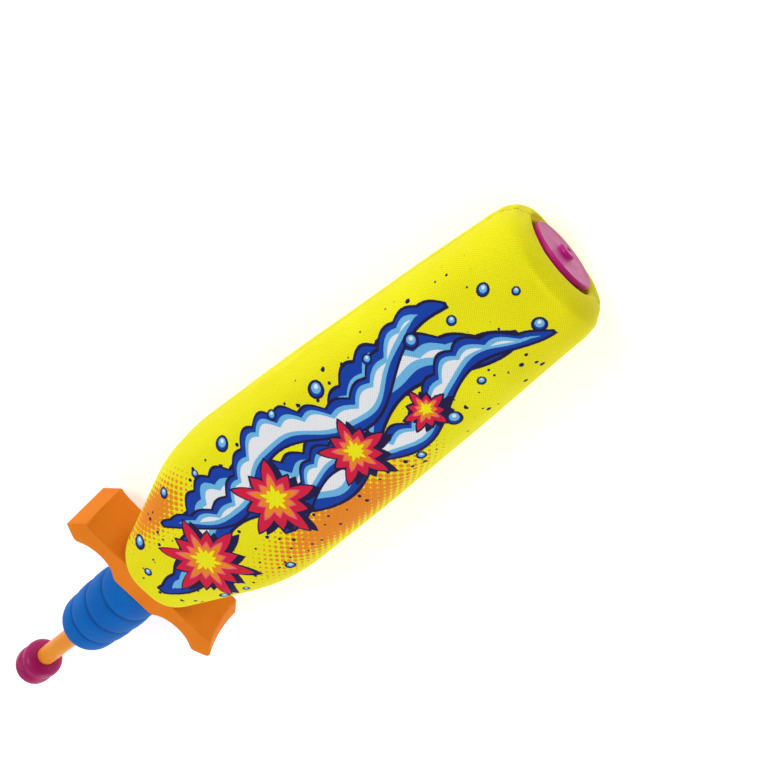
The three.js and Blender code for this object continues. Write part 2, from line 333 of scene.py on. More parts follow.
def printedColour(tree, uv, along, across):
    sums, design = arithmetic(tree), printSet
    bleed = sums.timesPlus(noiseOf(tree, uv, 1400.0, 1.0), 0.5, -0.25)
    point = tree.nodes.new("ShaderNodeCombineXYZ")
    tree.links.new(along, point.inputs[0])
    tree.links.new(across, point.inputs[1])

    def paint(under, distance, name, edge=0.14):
        inside = ranged(tree, sums.plus(distance, bleed), edge, -edge)
        return mixed(tree, inside, under, clothSet[name])

    def lengthOf(a, b):
        return sums.root(sums.plus(sums.times(a, a), sums.times(b, b)))

    def away(spot):
        node = tree.nodes.new("ShaderNodeVectorMath")
        node.operation = "DISTANCE"
        tree.links.new(point.outputs[0], node.inputs[0])
        node.inputs[1].default_value = (spot[0], spot[1], 0)
        return node.outputs["Value"]

    colour = clothTone(tree, uv, 14.0, "yellow")

    # dotted fade on a grid turned by 45 degrees
    pitch = design["dots"]["pitch"]
    diagonal = 0.7071 / pitch
    cellA, cellB = (sums.minus(sums.part(sums.times(way, diagonal)), 0.5)
                    for way in (sums.plus(along, across), sums.minus(along, across)))
    fromDot = sums.times(lengthOf(cellA, cellB), pitch)
    for (middleA, middleB), long, wide in design["dots"]["fields"]:
        a = sums.over(sums.minus(along, middleA), long)
        b = sums.over(sums.minus(across, middleB), wide)
        size = ranged(tree, lengthOf(a, b), 0.1, 1.0, 0.78 * pitch, 0.0)
        colour = paint(colour, sums.minus(fromDot, size), "orange")

    # scattered ink specks
    speck = design["specks"]
    cells = tree.nodes.new("ShaderNodeTexVoronoi")
    cells.voronoi_dimensions = "2D"
    dress(tree, cells, {"Scale": 1.0 / speck["cell"], "Vector": point.outputs[0]})
    chance = tree.nodes.new("ShaderNodeSeparateColor")
    tree.links.new(cells.outputs["Color"], chance.inputs[0])
    size = ranged(tree, chance.outputs[0], 0.6, 1.0, 0.0, speck["largest"])
    distance = sums.minus(sums.times(cells.outputs["Distance"], speck["cell"]), size)
    missing = sums.times(sums.minus(speck["rare"], chance.outputs[0]), 50.0)
    for limit in (sums.minus(sums.size(across), speck["half"]), sums.minus(along, speck["to"]),
                  sums.minus(speck["from"], along), missing):
        distance = sums.most(distance, limit)
    colour = paint(colour, distance, "navy")

    # water waves, each with four tones
    for low, high, level, swing, length, phase, half in design["waves"]:
        t = ranged(tree, along, low, high)
        taper = sums.power(sums.times(sums.times(t, sums.minus(1.0, t)), 4.0), design["taper"])
        bend = sums.sine(sums.timesPlus(along, 2 * math.pi / length, phase))
        side = sums.minus(across, sums.timesPlus(bend, swing, level))
        crest = sums.size(sums.sine(sums.times(along, math.pi / design["crest"])))
        crest = sums.times(crest, sums.above(side, 0.0))
        scallop = sums.times(crest, sums.times(taper, design["crestHeight"]))
        distance = sums.minus(sums.size(side), sums.plus(sums.times(taper, half), scallop))
        trim, share = design["waveTrim"], half / design["waveHalf"]
        ends = sums.most(sums.minus(low + trim, along), sums.minus(along, high - trim))
        distance = sums.most(distance, ends)
        colour = paint(colour, distance, "navy")
        streak = sums.sine(sums.timesPlus(along, 0.21, phase))
        for ink, inset, wider, stir in design["waveInks"]:
            inner = sums.timesPlus(streak, stir * share, distance)
            colour = paint(colour, sums.plus(inner, inset + wider * share), ink)

    # star bursts over their own shade
    def burst(spot, radius, points, spin):
        a = sums.minus(along, spot[0])
        b = sums.minus(across, spot[1])
        turn = sums.timesPlus(sums.angle(b, a), points / (2 * math.pi), spin)
        tooth = sums.pingPong(turn, 0.5)
        longer = sums.timesPlus(sums.sine(sums.times(turn, math.pi)), 0.13, 0.87)
        edge = sums.times(longer, sums.timesPlus(tooth, 0.84 * radius, 0.58 * radius))
        return sums.times(sums.minus(away(spot), edge), 0.72)

    shadeA, shadeB = design["shade"]
    for a, b, radius, points, spin in design["bursts"]:
        star = burst((a, b), radius, points, spin)
        shade = burst((a + shadeA, b + shadeB), radius, points, spin)
        colour = paint(colour, sums.minus(shade, design["shadeRim"]), "navy")
        colour = paint(colour, sums.minus(star, design["burstRim"]), "navy")
        colour = paint(colour, star, "red")
        for ink, offA, offB, size in design["burstInks"]:
            colour = paint(colour, burst((a + offA, b + offB), size * radius, points, spin), ink)

    # bubbles with a dark rim and a light spot
    for a, b, radius in design["bubbles"]:
        for ink, shift, size in design["bubbleInks"]:
            spot = away((a + shift * radius, b + 1.2 * shift * radius))
            colour = paint(colour, sums.minus(spot, size * radius), ink)
    return colour


# closed-cell foam: fine skin cells, a little cloudy colour and paler rubbed places
def makeFoam(name, colour, deep, cell, roughLow, roughHigh, bumpHeight, grooveShade=None):
    material, tree, shader = newMaterial(name)
    place, colour, deep = objectPlace(tree), linear(*colour), linear(*deep)
    cloud = noiseOf(tree, place, 45.0, 4.0, 0.6)
    speck = noiseOf(tree, place, 1000.0 / cell, 2.0, 0.6)
    tint = mixed(tree, ranged(tree, cloud, 0.35, 0.7), colour, deep)
    pale = ranged(tree, speck, 0.62, 0.8, 0.0, 0.12)
    tint = mixed(tree, pale, tint, [0.65 * channel + 0.35 for channel in colour])
    if grooveShade:  # painted shade along the pressed grooves, darkest at each groove's middle
        off = fromGroove(arithmetic(tree), apart(tree, place)[0], *grooveShade["row"])
        grooveShadeShare = ranged(tree, off, 0.0, grooveShade["reach"], grooveShade["depth"], 0.0)
        tint = mixed(tree, grooveShadeShare, tint, grooveShade["shade"])
    dress(tree, shader, {
        "Base Color": tint,
        "Roughness": ranged(tree, speck, 0.3, 0.7, roughLow, roughHigh),
        "Normal": bumped(tree, cloud, 0.25, 0.0006, bumped(tree, speck, 0.4, bumpHeight)),
        "Specular IOR Level": 0.1,
    })
    return material


# moulded plastic: faint flow marks, fine texture and small scuffs
def makePlastic(name, colour, deep, roughLow, roughHigh, coat):
    material, tree, shader = newMaterial(name)
    place, colour, deep = objectPlace(tree), linear(*colour), linear(*deep)
    flow = noiseOf(tree, place, 60.0, 3.0, 0.55)
    grain = noiseOf(tree, place, 2600.0)
    scuff = noiseOf(tree, place, 240.0, 6.0, 0.75)
    dress(tree, shader, {
        "Base Color": mixed(tree, ranged(tree, flow, 0.3, 0.7), colour, deep),
        "Roughness": ranged(tree, scuff, 0.35, 0.75, roughLow, roughHigh),
        "Normal": bumped(tree, grain, 0.18, 0.00006),
        "Specular IOR Level": 0.24, "Coat Weight": coat, "Coat Roughness": 0.25,
    })
    return material


foams = {  # two colours, cell in mm, least and most roughness, relief in m
    "orangeFoam": ((236, 132, 32), (228, 120, 22), 0.55, 0.55, 0.75, 0.00012),
    "paddingFoam": ((236, 234, 222), (222, 218, 200), 1.4, 0.8, 0.95, 0.0004),
    "blackRubber": ((32, 32, 34), (24, 24, 26), 0.8, 0.5, 0.7, 0.00008),
}
plastics = {  # two colours, least and most roughness, coat
    "magentaPlastic": ((170, 10, 96), (158, 8, 86), 0.3, 0.46, 0.0),
    "nozzlePlastic": ((198, 22, 136), (188, 16, 124), 0.3, 0.44, 0.0),
    "orangePlastic": ((242, 152, 44), (236, 142, 34), 0.32, 0.5, 0.05),
    "whitePlastic": ((234, 234, 228), (226, 226, 218), 0.3, 0.45, 0.1),
}
finishes = {
    "printedCloth": makeCloth("printedCloth", printedColour),
    "plainCloth": makeCloth("plainCloth", lambda tree, uv, *ways: clothTone(tree, uv, 18.0, "back")),
}
for make, kinds in ((makeFoam, foams), (makePlastic, plastics)):
    for kindName, values in kinds.items():
        finishes[kindName] = make(kindName, *values)
threadMaterial, threadTree, threadShader = newMaterial("seamThread")
threadTwist = noiseOf(threadTree, objectPlace(threadTree), 3000.0)
threadShare = ranged(threadTree, threadTwist, 0.3, 0.7)
dress(threadTree, threadShader, {
    "Base Color": mixed(threadTree, threadShare, linear(232, 208, 20), linear(214, 184, 16)),
    "Normal": bumped(threadTree, threadTwist, 0.4, 0.00008), "Roughness": 0.7,
})
print("materials made:", len(finishes) + 1)

# blade: sizes in mm; ends and thickness come from the frame
coverLow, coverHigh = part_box("cover_front_panel")
bladeSet = {
    "rear": coverLow.x / mm,
    "front": coverHigh.x / mm,
    "axis": coverHigh.z / mm / 2,
    "halfDepth": coverHigh.z / mm / 2,
    "rearHalf": 25.6, "shoulderHalf": 50.6, "frontHalf": 32.2,
    "shoulder": 76.0, "shoulderBlend": 22.0,
    "rearRound": 9.2, "frontRound": 14.5, "endRound": 6.5, "endCrease": 20.0,
    "edgeAcross": 21.0, "edgeDeep": 25.0, "largestRound": 0.9,
    "pocket": 19.4, "pocketFloor": 5.8, "pocketRim": 1.7, "barrelHole": 14.3,
    "slack": 0.25,  # the sewn form starts this much smaller and is blown up
    "stationStep": 3.0,
    "creaseShares": (0.35, 0.62, 0.82, 0.93), "floorRadii": (17.5, 15.8),
    "rearHeld": 4, "frontHeld": 12,  # rings that the pump holds in place
    "frames": 18, "pressure": 2.2, "cap": 1.3,
    "cloth": {"quality": 5, "mass": 0.15, "tension_stiffness": 30, "compression_stiffness": 30,
              "shear_stiffness": 12, "bending_stiffness": 1.5},
    "lowest": 0.0001,  # metres over the floor
    "clothThickness": 0.4,
    "foamGives": 0.1,  # how far the padding lets the cloth sink
}


def quadratic(p0, p1, p2, steps):
    t = np.linspace(0, 1, steps + 1)[:, None]
    return (1 - t) ** 2 * np.array(p0) + 2 * t * (1 - t) * np.array(p1) + t ** 2 * np.array(p2)


def straight(p0, p1, step):
    count = max(2, int(np.hypot(*(np.array(p1) - np.array(p0))) / step))
    return np.array(p0) + np.linspace(0, 1, count + 1)[:, None] * (np.array(p1) - np.array(p0))


def bladePlan(s, step):
    slack = s.slack
    rear, front, shoulder = s.rear + slack, s.front - slack, s.rear + s.shoulder
    rearHalf, wideHalf, frontHalf = s.rearHalf - slack, s.shoulderHalf - slack, s.frontHalf - slack
    rearSlope = (wideHalf - rearHalf) / (shoulder - rear)
    sideSlope = (frontHalf - wideHalf) / (front - shoulder)
    rearRound, frontRound, blend = s.rearRound - slack, s.frontRound - slack, s.shoulderBlend
    a, b = (rear, rearHalf - rearRound), (rear + rearRound, rearHalf + rearSlope * rearRound)
    c = (shoulder - blend, wideHalf - rearSlope * blend)
    d = (shoulder + blend, wideHalf + sideSlope * blend)
    e, f = (front - frontRound, frontHalf - sideSlope * frontRound), (front, frontHalf - frontRound)
    runs = [quadratic(a, (rear, rearHalf), b, 9), straight(b, c, step),
            quadratic(c, (shoulder, wideHalf), d, 14), straight(d, e, step),
            quadratic(e, (front, frontHalf), f, 40)]
    return np.vstack([runs[0]] + [run[1:] for run in runs[1:]])


def halfDepthAt(s, x):
    reach, crease = s.endRound - s.slack, math.radians(s.endCrease)
    radius = reach / (1 - math.sin(crease))
    fromEnd = np.minimum(x - (s.rear + s.slack), s.front - s.slack - x)
    lean = np.clip(np.clip(reach - fromEnd, 0, reach) / radius + math.sin(crease), 0, 1)
    drop = radius * (math.cos(crease) - np.sqrt(1 - lean ** 2))
    return s.halfDepth - s.slack - np.maximum(drop, 0)


def edgeRadii(s, half, depth):
    return (np.minimum(s.edgeAcross - s.slack, half * s.largestRound),
            np.minimum(s.edgeDeep - s.slack, depth * s.largestRound))


# a quarter of a section, from the middle of the face to the side seam
def quarterSection(s, half, depth, shares):
    across, deep = edgeRadii(s, half, depth)
    angles = np.linspace(math.pi / 2, 0, 41)
    line = [(0.0, depth)]
    line += [(half - across + across * math.cos(a), depth - deep + deep * math.sin(a)) for a in angles]
    line.append((half, 0.0))
    line = np.array(line)
    run = np.concatenate([[0], np.cumsum(np.hypot(*np.diff(line, axis=0).T))])
    at = shares(run[-1])
    return np.stack([np.interp(at, run, line[:, 0]), np.interp(at, run, line[:, 1])], 1), at


quarterCount = 24


# points stand close together at the seam
def seamShares(total):
    near = np.array([0.0, 0.45, 1.1, 2.1])
    rest = np.linspace(near[-1], total, quarterCount - len(near) + 2)[1:]
    return total - np.concatenate([near, rest])[::-1]


def insideBlade(s, plan, x, y, z):
    half = np.interp(x, plan[:, 0], plan[:, 1])
    depth = halfDepthAt(s, x)
    across, deep = edgeRadii(s, half, depth)
    ay, az = np.abs(y), np.abs(z)
    overY, overZ = np.clip(ay - half + across, 0, None), np.clip(az - depth + deep, 0, None)
    return (ay <= half) & (az <= depth) & ((overY / across) ** 2 + (overZ / deep) ** 2 <= 1)


# the furthest station that the blade's front end reaches over a point of its section
def frontOver(s, plan, y, z):
    low, high = np.full(y.shape, s.front - 60.0), np.full(y.shape, s.front - s.slack)
    for _ in range(46):
        middle = (low + high) / 2
        held = insideBlade(s, plan, middle, y, z)
        low, high = np.where(held, middle, low), np.where(held, high, middle)
    return low


def bladeRings(s):
    plan = bladePlan(s, s.stationStep)
    cut = s.front - s.frontRound - 1.0
    body = plan[plan[:, 0] < cut]
    rings, runs = [], []

    def whole(quarter, at):
        lower, back = quarter[::-1] * [1, -1], at[::-1]
        loop = np.vstack([quarter, lower[1:], -quarter[1:], -lower[1:-1]])
        return loop, np.concatenate([at, back[1:], -at[1:], -back[1:-1]])

    for x, half in body:
        loop, turn = whole(*quarterSection(s, half, float(halfDepthAt(s, np.array(x))), seamShares))
        rings.append(np.column_stack([np.full(len(loop), x), loop]))
        runs.append(turn)
    lastLoop, lastTurn = rings[-1][:, 1:], runs[-1]
    angle = np.arctan2(lastLoop[:, 1], lastLoop[:, 0])
    mouth = np.column_stack([np.cos(angle), np.sin(angle)])
    rimStart = mouth * (s.pocket + s.pocketRim)

    def extend(ring):
        rings.append(ring)
        runs.append(lastTurn)

    for share in 1 - np.cos(np.linspace(0, math.pi / 2, 17)[1:]):
        loop = lastLoop + (rimStart - lastLoop) * share
        x = np.maximum(frontOver(s, plan, loop[:, 0], loop[:, 1]), body[-1, 0])
        ring, last = np.column_stack([x, loop]), rings[-1]
        if len(rings) == len(body):  # a few more rings on the way to the crease
            for t in s.creaseShares:
                extend(last + (ring - last) * t)
        extend(ring)
    rimX = rings[-1][:, 0]
    for lean in np.radians([22, 45, 68, 90]):
        radius = s.pocket + s.pocketRim * (1 - math.sin(lean))
        extend(np.column_stack([rimX - s.pocketRim * (1 - math.cos(lean)), mouth * radius]))
    floor = s.front - s.pocketFloor
    wall = rings[-1][:, 0]
    for share in (0.4, 0.75, 1.0):
        extend(np.column_stack([wall + (floor - wall) * share, mouth * s.pocket]))
    for radius in (*s.floorRadii, s.barrelHole):
        extend(np.column_stack([np.full(len(mouth), floor), mouth * radius]))
    hole = rings[0][:, 1:]
    holeAngle = np.arctan2(hole[:, 1], hole[:, 0])
    target = np.column_stack([np.cos(holeAngle), np.sin(holeAngle)]) * s.barrelHole
    rearX = rings[0][:, 0]
    for share in (0.35, 0.7, 1.0):
        rings.insert(0, np.column_stack([rearX, hole + (target - hole) * share]))
        runs.insert(0, runs[0])
    return np.array(rings), np.array(runs)


# cloth grain over the front end: the face turns down over the edge, the sides turn in round the corners
def grainOver(s, rings, runs):
    ringCount, around = runs.shape
    capStart = int(np.argmax(rings[:, 0, 0] > s.front - s.frontRound - 1.0)) - 1
    _, acrossCap, upCap = rings[capStart].T
    onFace = np.abs(upCap) > 1.02 * np.abs(acrossCap) * s.halfDepth / s.frontHalf
    long = np.repeat(rings[:, :1, 0], around, axis=1)
    wide = runs.copy()
    for i in range(capStart + 1, ringCount):
        dx, dy, dz = (rings[i] - rings[i - 1]).T
        long[i] = long[i - 1] + np.where(onFace, np.hypot(dx, dz), np.hypot(dx, dy))
        rise = np.abs(rings[i, :, 2]) - np.abs(rings[i - 1, :, 2])
        wide[i] = wide[i - 1] + np.where(onFace, dy, -np.sign(acrossCap) * rise)
    return long, wide


def coverMesh(s):
    rings, runs = bladeRings(s)
    ringCount, around = runs.shape
    long, wide = grainOver(s, rings, runs)
    points = rings.reshape(-1, 3) + [0, 0, s.axis]
    faces, faceUv, faceSide = [], [], []
    seam = quarterCount
    for i in range(ringCount - 1):
        for j in range(around):
            n = (j + 1) % around
            corners = ((i, j), (i + 1, j), (i + 1, n), (i, n))
            faces.append([ring * around + k for ring, k in corners])
            back = seam <= j < 3 * seam
            faceSide.append(1 if back else 0)
            middle = 2 * seam if back else 0
            for ring, k in corners:
                faceUv.append((long[ring, k] * mm, (0.0 if k == middle else wide[ring, k]) * mm))
    mesh = bpy.data.meshes.new("sewnCover")
    mesh.from_pydata((points * mm).tolist(), [], faces)
    layer = mesh.uv_layers.new(name="clothGrain")
    layer.data.foreach_set("uv", np.array(faceUv, np.float32).ravel())
    mesh.polygons.foreach_set("material_index", faceSide)
    mesh.update()
    return mesh, ringCount, around


def blowUp(mesh, s, held):
    pad = placed("sewnCover", mesh)
    group = pad.vertex_groups.new(name="sewn")
    group.add([int(i) for i in np.flatnonzero(held)], 1.0, "REPLACE")
    cloth = pad.modifiers.new("cloth", "CLOTH")
    settings = cloth.settings
    for name, value in s.cloth.items():
        setattr(settings, name, value)
    settings.use_pressure = True
    settings.uniform_pressure_force = s.pressure
    settings.vertex_group_mass = "sewn"
    settings.effector_weights.gravity = 0
    cloth.collision_settings.use_collision = False
    cloth.point_cache.frame_start = 1
    cloth.point_cache.frame_end = s.frames
    for number in range(1, s.frames + 1):
        scene.frame_set(number)
    shaped = pad.evaluated_get(bpy.context.evaluated_depsgraph_get())
    moved = np.array([v.co for v in shaped.data.vertices], float)
    pad.modifiers.remove(cloth)
    scene.frame_set(1)
    bpy.data.objects.remove(pad)
    return moved


sewnMesh, ringCount, aroundCount = coverMesh(named(bladeSet))
restPoints = np.array([v.co for v in sewnMesh.vertices], float)
ringOf = np.repeat(np.arange(ringCount), aroundCount)
turnOf = np.tile(np.arange(aroundCount), ringCount)
seamOf = (turnOf == quarterCount) | (turnOf == 3 * quarterCount)
rimRings = ringCount - bladeSet["frontHeld"]
onBody = (ringOf >= bladeSet["rearHeld"]) & (ringOf <= rimRings)
shapedPoints = blowUp(sewnMesh, named(bladeSet), seamOf | ~onBody)
move = shapedPoints - restPoints
size = np.linalg.norm(move, axis=1)
print("cover blown up: mean", round(size.mean() / mm, 2), "mm, most", round(size.max() / mm, 2), "mm")
limit = bladeSet["cap"] * mm
move *= np.minimum(1, limit / np.maximum(size, 1e-9))[:, None]
restNormals = np.array([v.normal for v in sewnMesh.vertices], float)
sunk = np.minimum((move * restNormals).sum(1) + bladeSet["foamGives"] * mm, 0)
shapedPoints = restPoints + move - restNormals * sunk[:, None]

# the side seam is drawn in, with small puckers where the cover turns the front corners
puckerSet = {
    "depth": 0.45, "reach": 2.4, "outer": 12.0,  # the dip along the seam
    "pucker": 0.42, "pitch": 7.5, "spread": 9.0, "begin": 34.0, "full": 10.0, "stagger": 2.0, "slant": 0.6,
    "waver": 0.22, "waverLengths": (23.0, 17.0, 37.0), "waverStart": 0.6,
    "leanFrom": 60.0, "leanSides": (2, 26), "farLean": 2.4, "nearLean": 1.3, "drawIn": 0.7,
    "fold": 0.4, "foldBack": 6.7, "foldHalf": 2.0, "foldSides": (14, 26),
}
sewnMesh.vertices.foreach_set("co", shapedPoints.ravel())
sewnMesh.update()
normals = np.array([v.normal for v in sewnMesh.vertices], float)


# mm to move each point of the cover along its normal; points near the front also lean forward
def puckered(s, points, nose):
    along, across = points[:, 0] / mm, points[:, 1] / mm
    side = np.abs(points[:, 2] / mm - bladeSet["axis"])
    seamDip = s.depth * np.exp(-(side / s.reach) ** 2)
    front = smooth(nose - s.begin, nose - s.full, along)
    path = along + np.where(across > 0, s.stagger, 0.0) - s.slant * np.abs(across)
    pucker = s.pucker * front * np.sin(2 * math.pi * path / s.pitch)
    pucker *= np.exp(-(side / s.spread) ** 2)
    long, wide, slow = s.waverLengths
    waver = s.waver * np.sin(along / long + across / wide) * np.cos(along / slow - s.waverStart)
    lean = np.where(onBody, smooth(nose - s.leanFrom, nose - s.full, along), 0.0)
    farSide, nearSide = smooth(*s.leanSides, across), smooth(*s.leanSides, -across)
    points[:, 0] += lean * (s.farLean * farSide + s.nearLean * nearSide) * mm
    points[:, 1] -= lean * s.drawIn * farSide * mm
    fold = s.fold * np.exp(-((nose - s.foldBack - along) / s.foldHalf) ** 2)
    fold *= 1 - smooth(*s.foldSides, np.abs(points[:, 1]) / mm)
    outer = np.abs(across) > s.outer
    return np.where(onBody & outer, pucker - seamDip, 0.0) + np.where(onBody, waver + fold, 0.0)


shift = puckered(named(puckerSet), shapedPoints, bladeSet["front"])
shapedPoints = shapedPoints + normals * (shift * mm)[:, None]
shapedPoints[:, 2] = np.maximum(shapedPoints[:, 2], bladeSet["lowest"])
sewnMesh.vertices.foreach_set("co", shapedPoints.ravel())
sewnMesh.update()

fineCover = placed("fineCover", sewnMesh)
finer = fineCover.modifiers.new("finer", "SUBSURF")
finer.levels = finer.render_levels = 1
fineMesh = baked(fineCover)


def onePanel(name, sideIndex, material, node):
    mesh = fineMesh.copy()
    mesh.name = name
    work = bmesh.new()
    work.from_mesh(mesh)
    others = [face for face in work.faces if face.material_index != sideIndex]
    bmesh.ops.delete(work, geom=others, context="FACES")
    for face in work.faces:
        face.material_index = 0
        face.smooth = True
    for vertex in work.verts:
        vertex.co.z = max(vertex.co.z, bladeSet["lowest"])
    work.to_mesh(mesh)
    work.free()
    piece = addPiece(name, mesh, material, "squirter", [node])
    wall = piece.modifiers.new("clothThickness", "SOLIDIFY")
    wall.thickness = bladeSet["clothThickness"] * mm
    wall.offset = -1.0
    return piece


coverFront = onePanel("coverFront", 0, finishes["printedCloth"], "cover_front_panel")
coverBack = onePanel("coverBack", 1, finishes["plainCloth"], "cover_back_panel")
print("cover panels:", len(coverFront.data.polygons), "and", len(coverBack.data.polygons), "faces")

# seam stitches: one tree, run along both side seams
stitchSet = {"length": 2.3, "pitch": 3.1, "radius": 0.2, "proud": 0.05}


def newTree(name, values):
    tree = bpy.data.node_groups.new(name, "GeometryNodeTree")
    for way in ("INPUT", "OUTPUT"):
        tree.interface.new_socket(name="Geometry", in_out=way, socket_type="NodeSocketGeometry")
    for entry, value in values.items():
        kind = "NodeSocketFloat" if isinstance(value, float) else "NodeSocketMaterial"
        tree.interface.new_socket(name=entry, in_out="INPUT", socket_type=kind)
    return tree, tree.nodes.new("NodeGroupInput").outputs


# every tree ends with real geometry in one material
def endTree(tree, geometry, material):
    real, paint, end = map(tree.nodes.new, (
        "GeometryNodeRealizeInstances", "GeometryNodeSetMaterial", "NodeGroupOutput"))
    dress(tree, real, {"Geometry": geometry})
    dress(tree, paint, {"Geometry": real.outputs["Geometry"], "Material": material})
    dress(tree, end, {"Geometry": paint.outputs["Geometry"]})
    return tree


def stitchTree(values):
    tree, given = newTree("seamStitches", values)
    toCurve, points, thread, turn, place = map(tree.nodes.new, (
        "GeometryNodeMeshToCurve", "GeometryNodeCurveToPoints", "GeometryNodeMeshCylinder",
        "FunctionNodeAlignRotationToVector", "GeometryNodeInstanceOnPoints"))
    points.mode, turn.axis = "LENGTH", "Z"
    dress(tree, toCurve, {"Mesh": given["Geometry"]})
    dress(tree, points, {"Curve": toCurve.outputs["Curve"], "Length": given["Stitch Pitch"]})
    dress(tree, thread, {"Vertices": 6, "Side Segments": 2, "Radius": given["Thread Radius"],
                         "Depth": given["Stitch Length"]})
    dress(tree, turn, {"Vector": points.outputs["Tangent"]})
    dress(tree, place, {"Points": points.outputs["Points"], "Rotation": turn.outputs["Rotation"],
                        "Instance": thread.outputs["Mesh"]})
    return endTree(tree, place.outputs["Instances"], given["Thread"])


def runTree(name, mesh, makeTree, values):
    holder, tree = placed(name, mesh), makeTree(values)
    modifier = holder.modifiers.new("nodes", "NODES")
    modifier.node_group = tree
    for item in tree.interface.items_tree:
        if item.item_type == "SOCKET" and item.in_out == "INPUT" and item.name in values:
            modifier[item.identifier] = values[item.name]
    return baked(holder)


seamPoints, seamEdges = [], []
for turnIndex in (quarterCount, 3 * quarterCount):
    chosen = [i * aroundCount + turnIndex for i in range(bladeSet["rearHeld"] + 1, rimRings)]
    base = len(seamPoints)
    for i in chosen:
        seamPoints.append(Vector(shapedPoints[i]) + Vector(normals[i]) * stitchSet["proud"] * mm)
    seamEdges += [(base + k, base + k + 1) for k in range(len(chosen) - 1)]
seamLine = bpy.data.meshes.new("seamLine")
seamLine.from_pydata([tuple(p) for p in seamPoints], seamEdges, [])
stitchMesh = runTree("seamLine", seamLine, stitchTree, {
    "Stitch Length": stitchSet["length"] * mm, "Stitch Pitch": stitchSet["pitch"] * mm,
    "Thread Radius": stitchSet["radius"] * mm, "Thread": threadMaterial,
})
addPiece("seamStitches", stitchMesh, threadMaterial, "squirter", [])
print("stitches:", len(stitchMesh.polygons), "faces")

# guard: thick foam cut with a blade, so its walls are a little hollow; bored for the barrel
guardLow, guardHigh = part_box("guard")
axisHeight = bladeSet["axis"] * mm
guardSet = {
    "rear": guardLow.x / mm, "front": guardHigh.x / mm - 2.0,  # without the flare
    "halfDepth": (guardHigh.z - guardLow.z) / mm / 2,
    "tipHalf": guardHigh.y / mm, "tipRise": 7.5, "frontHalf": 49.1, "frontFlare": 2.0,
    "shoulderHalf": 46.5, "shoulderRise": 1.3,
    "scallopHalf": 30.0, "scallopDepth": 6.6, "scallopSpread": 9.0, "seatHalf": 15.4,
    "cornerRound": 3.2, "tipRound": 1.5, "edge": 0.8, "bore": 14.3,
    "hollow": 1.9, "farHollow": 0.9, "hollowSpan": (18.0, 36.0), "rearFacing": (0.8, 0.98),
    "edgeLevels": 5, "wallLevels": 13, "drillPast": 5,
}


def cubic(p0, p1, p2, p3, steps):
    t = np.linspace(0, 1, steps + 1)[:, None]
    p0, p1, p2, p3 = map(np.array, (p0, p1, p2, p3))
    return (1 - t) ** 3 * p0 + 3 * t * (1 - t) ** 2 * p1 + 3 * t * t * (1 - t) * p2 + t ** 3 * p3


# sharp corners of a closed outline become curves that start some way before them and end as far after
def softened(outline, reaches, steps=8):
    edges = np.roll(outline, -1, axis=0) - outline
    lengths = np.hypot(*edges.T)
    at = np.concatenate([[0], np.cumsum(lengths)])
    heading = np.arctan2(edges[:, 1], edges[:, 0])
    bend = np.abs((heading - np.roll(heading, 1) + math.pi) % (2 * math.pi) - math.pi)
    corners = np.flatnonzero(bend > 0.3)
    closed = np.vstack([outline, outline[:1]])

    def spot(run):
        run %= at[-1]
        return np.array([np.interp(run, at, closed[:, 0]), np.interp(run, at, closed[:, 1])])

    soft = []
    for k, here in enumerate(outline):
        gap = np.abs(at[corners] - at[k])
        if k in corners:
            soft += list(quadratic(spot(at[k] - reaches(here)), here, spot(at[k] + reaches(here)), steps))
        elif (np.minimum(gap, at[-1] - gap) > [reaches(corner) for corner in outline[corners]]).all():
            soft.append(here)
    return np.array(soft)


def guardOutline(s):
    floor = s.rear + s.scallopDepth * 4 / 3
    shoulder = (s.rear + s.shoulderRise, s.shoulderHalf)
    tip, flare = (s.rear + s.tipRise, s.tipHalf), (s.front + s.frontFlare, s.frontHalf)
    half = np.vstack([
        cubic((s.rear, s.seatHalf), (floor, s.scallopHalf - s.scallopSpread),
              (floor, s.scallopHalf + s.scallopSpread), shoulder, 24),
        straight(shoulder, tip, 3.0)[1:-1], [tip], straight(tip, flare, 3.0)[1:-1], [flare],
        quadratic(flare, (s.front, s.shoulderHalf), (s.front, s.scallopHalf), 9)[1:],
    ])
    crisp = s.shoulderHalf + 1.0  # the far wing's tip keeps crisper corners
    return softened(np.vstack([half, half[::-1] * [1, -1]]),
                    lambda spot: s.tipRound if spot[1] > crisp else s.cornerRound)


